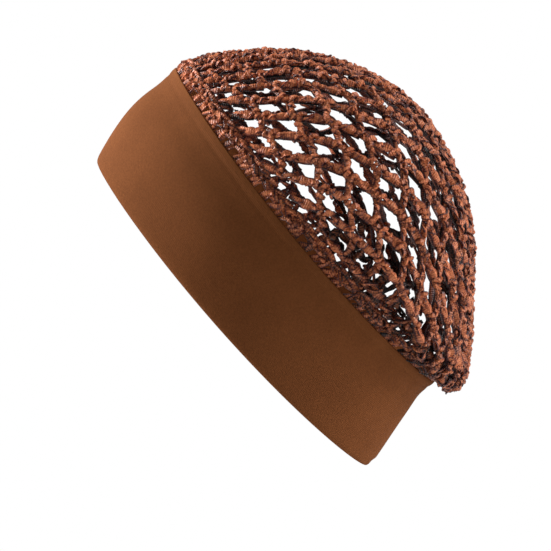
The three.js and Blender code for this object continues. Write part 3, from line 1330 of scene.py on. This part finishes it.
UPRIGHT = EdgingStitch(Tape(3.5, 1.3, 0.85, taper=0.6), start_sink=0.0, end_sink=1.5)
WRAP = EdgingStitch(Tape(2.5, 1.7, 0.7, taper=0.6), start_sink=1.0, end_sink=1.0)
BAR = EdgingStitch(Tape(2.4, 1.5, 0.8, taper=0.6), start_sink=0.3, end_sink=0.3)
CHAIN = EdgingStitch(Tape(2.8, 1.7, 0.75, taper=0.6), start_sink=1.6, end_sink=1.6)

EDGING_VARIATION = Variation(width=(0.82, 1.15), arch=(0.7, 1.3), bow=0.7, roll=30, twist=40, tone=0.35)


@dataclass
class Edging:
    """The dense row of short stitches along the band's seam, with a loose chain along its top.

    Ring places count from 0 at the apex to 1 at the seam, leans and lengths along the seam are shares of the
    pitch, and the foot and the face are millimetres from the band's own face.
    """

    form: WornForm
    stitches: int = 158
    scatter: float = 0.3
    foot_inside: float = 1.4
    foot_below: float = 1.0
    face_outside: float = 0.8
    head_ring: float = 0.988
    leans: tuple[float, float] = (0.95, -0.25)
    lean_scatter: float = 0.25
    head_tilt: float = 0.3
    wrap_most: float = 0.8
    bar_levels: tuple[float, float] = (0.35, 0.75)
    chain_length: float = 1.4
    chain_start: tuple[float, float] = (-0.004, 0.008)
    chain_drop: tuple[float, float] = (0.0042, 0.0182)
    nape_shade: float = 0.75
    nape_power: float = 0.7
    seed: int = 11

    def heads(self, turn: np.ndarray, ring: float | np.ndarray) -> np.ndarray:
        """Points of the net near its rim.

        Args:
            turn: Angles from the forehead.
            ring: Ring positions.

        Returns:
            Points on the net's outer face.
        """
        return self.form.crown(ring * np.sin(turn), -ring * np.cos(turn))

    def build(self) -> bpy.types.Object:
        """Lays the upright stitches, a wrap across the head of each, a bar to the next one and the chain.

        Returns:
            The piece.
        """
        random = np.random.default_rng(self.seed)
        runs = TapeRuns(stations=9)
        count = self.stitches
        step = FULL_TURN / count
        turn = step * (np.arange(count) + self.scatter * random.uniform(-1, 1, count))
        foot = self.form.band(turn, np.ones(count), -self.foot_inside)
        outer = self.form.band(turn, np.ones(count), self.face_outside)
        lean = np.where(np.arange(count) % 2, *self.leans)
        lean = lean + random.uniform(-self.lean_scatter, self.lean_scatter, count)
        head = self.heads(turn + step * lean, self.head_ring)
        back = self.heads(turn - step * random.uniform(0.0, self.wrap_most, count), self.head_ring)
        chain_from = self.heads(turn, self.head_ring + random.uniform(*self.chain_start, count))
        chain_ring = self.head_ring - random.uniform(*self.chain_drop, count)
        chain_to = self.heads(turn + self.chain_length * step, chain_ring)
        out = unit(unit(outer - foot) + self.head_tilt * unit(head - foot))
        # Painted shade: the edging stitches are darker towards the nape, under the bag's overhang.
        bright = 1 - self.nape_shade * ((1 - np.cos(turn)) / 2) ** self.nape_power
        for i in range(count):
            after = (i + 1) % count
            low = foot[i] - unit(head[i] - foot[i]) * self.foot_below * MM
            middle = (foot[after] + head[after]) / 2
            level = random.uniform(*self.bar_levels, 2)
            first = foot[i] + (head[i] - foot[i]) * level[0]
            last = foot[after] + (head[after] - foot[after]) * level[1]
            laid = (
                (UPRIGHT, low, head[i]),
                (WRAP, back[i], middle),
                (BAR, first, last),
                (CHAIN, chain_from[i], chain_to[i]),
            )
            for kind, start, end in laid:
                shaded = replace(kind.tape, tone=kind.tape.tone * bright[i])
                start = start - out[i] * kind.start_sink * MM
                end = end - out[i] * kind.end_sink * MM
                runs.add(start, end, out[i], shaded.varied(EDGING_VARIATION, random))
        return runs.build("edging_stitches")


# Studio


def direction(azimuth: float, elevation: float) -> Vector:
    """The direction from the bonnet to a place round it.

    Args:
        azimuth: Degrees round from the forehead side towards the wearer's left.
        elevation: Degrees above the horizon.

    Returns:
        A vector of length one.
    """
    a, e = math.radians(azimuth), math.radians(elevation)
    return Vector((math.sin(a) * math.cos(e), -math.cos(a) * math.cos(e), math.sin(e)))


@dataclass(frozen=True)
class Softbox:
    """A soft square light that looks at the bonnet, in degrees, watts and metres."""

    name: str
    azimuth: float
    elevation: float
    power: float
    size: float
    distance: float = 1.5

    def build(self) -> None:
        """Adds the lamp."""
        data = bpy.data.lights.new(self.name, "AREA")
        data.energy = self.power
        data.size = self.size
        lamp = bpy.data.objects.new(self.name, data)
        bpy.context.scene.collection.objects.link(lamp)
        away = direction(self.azimuth, self.elevation)
        lamp.location = away * self.distance
        lamp.rotation_euler = away.to_track_quat("Z", "Y").to_euler()


SOFTBOXES = (
    Softbox("front_softbox", azimuth=-8, elevation=28, power=32, size=0.6),
    Softbox("rear_softbox", azimuth=176, elevation=22, power=12, size=0.6),
    Softbox("low_softbox", azimuth=178, elevation=-6, power=4, size=0.5),
)


@dataclass(frozen=True)
class Studio:
    """A pale floor, soft light and the photograph's view.

    Angles are in degrees, the pixel and the sensor in millimetres, and other sizes in metres. The light of
    the surroundings goes from the far side's strength to the near side's between the two places of sides.
    """

    azimuth: float = 93.0
    elevation: float = 3.0
    distance: float = 1.6
    frame_pixels: int = 551
    pixel: float = 0.52
    origin_pixel: tuple[float, float] = (270.5, 268.0)
    sensor: float = 36.0
    floor_below: float = 0.34
    floor_radius: float = 12.0
    floor_edges: int = 96
    far_side: float = 0.5
    near_side: float = 0.13
    sides_from: float = -0.6
    sides_to: float = 0.1

    def camera(self) -> None:
        """Makes the camera, aimed so that the frame's origin falls on its pixel."""
        back = direction(self.azimuth, self.elevation)
        azimuth = math.radians(self.azimuth)
        right = Vector((math.cos(azimuth), math.sin(azimuth), 0))
        up = back.cross(right)
        middle = self.frame_pixels / 2
        target = right * (middle - self.origin_pixel[0]) * self.pixel * MM
        target += up * (self.origin_pixel[1] - middle) * self.pixel * MM
        data = bpy.data.cameras.new("camera")
        data.sensor_width = self.sensor
        data.lens = self.sensor * self.distance / (self.frame_pixels * self.pixel * MM)
        camera = bpy.data.objects.new("camera", data)
        bpy.context.scene.collection.objects.link(camera)
        camera.location = target + back * self.distance
        camera.rotation_euler = back.to_track_quat("Z", "Y").to_euler()
        bpy.context.scene.camera = camera

    def floor(self) -> None:
        """Makes the pale floor."""
        deselect()
        bpy.ops.mesh.primitive_circle_add(
            vertices=self.floor_edges, radius=self.floor_radius, fill_type="NGON", location=(0, 0, 0)
        )
        floor = bpy.context.object
        floor.name = "floor"
        for vertex in floor.data.vertices:
            vertex.co.z = -self.floor_below
        floor.data.materials.append(PaperFinish().material())

    def world(self) -> None:
        """Makes the white surroundings, whose light is weaker from the camera's side."""
        world = bpy.data.worlds.new("studio")
        bpy.context.scene.world = world
        graph = Graph(world)
        around = graph.node("ShaderNodeTexCoord", {}, {}, "Generated")
        side = graph.node("ShaderNodeSeparateXYZ", {}, {"Vector": around}, "X")
        range_from = {"From Min": self.sides_from, "From Max": self.sides_to}
        range_to = {"To Min": self.far_side, "To Max": self.near_side}
        light = graph.node("ShaderNodeMapRange", {}, {"Value": side, **range_from, **range_to})
        seen = graph.seen()
        strength = light * (1.0 - seen) + seen
        background = graph.node("ShaderNodeBackground", {}, {"Color": WHITE, "Strength": strength})
        graph.node("ShaderNodeOutputWorld", {}, {"Surface": background})

    def build(self) -> None:
        """Sets the whole stage."""
        self.camera()
        self.floor()
        for softbox in SOFTBOXES:
            softbox.build()
        self.world()
        bpy.context.scene.view_settings.view_transform = "Standard"


class Slot(Enum):
    """The record's material slots."""

    BAND = "band_fabric"
    NET = "net_yarn"


def main() -> None:
    """Builds the bonnet and its studio."""
    form = WornForm()
    Studio().build()
    jersey = JerseyFinish().material()
    yarn = YarnFinish().material()
    band = Band(form)
    piece = settle(band.build(), jersey, Slot.BAND.value, "band")
    settle(Edging(form).build(), yarn, Slot.NET.value, "net_edging")
    for net_piece in Net(form).build():
        settle(net_piece, yarn, Slot.NET.value, "net_crown")


if __name__ == "__main__":
    main()
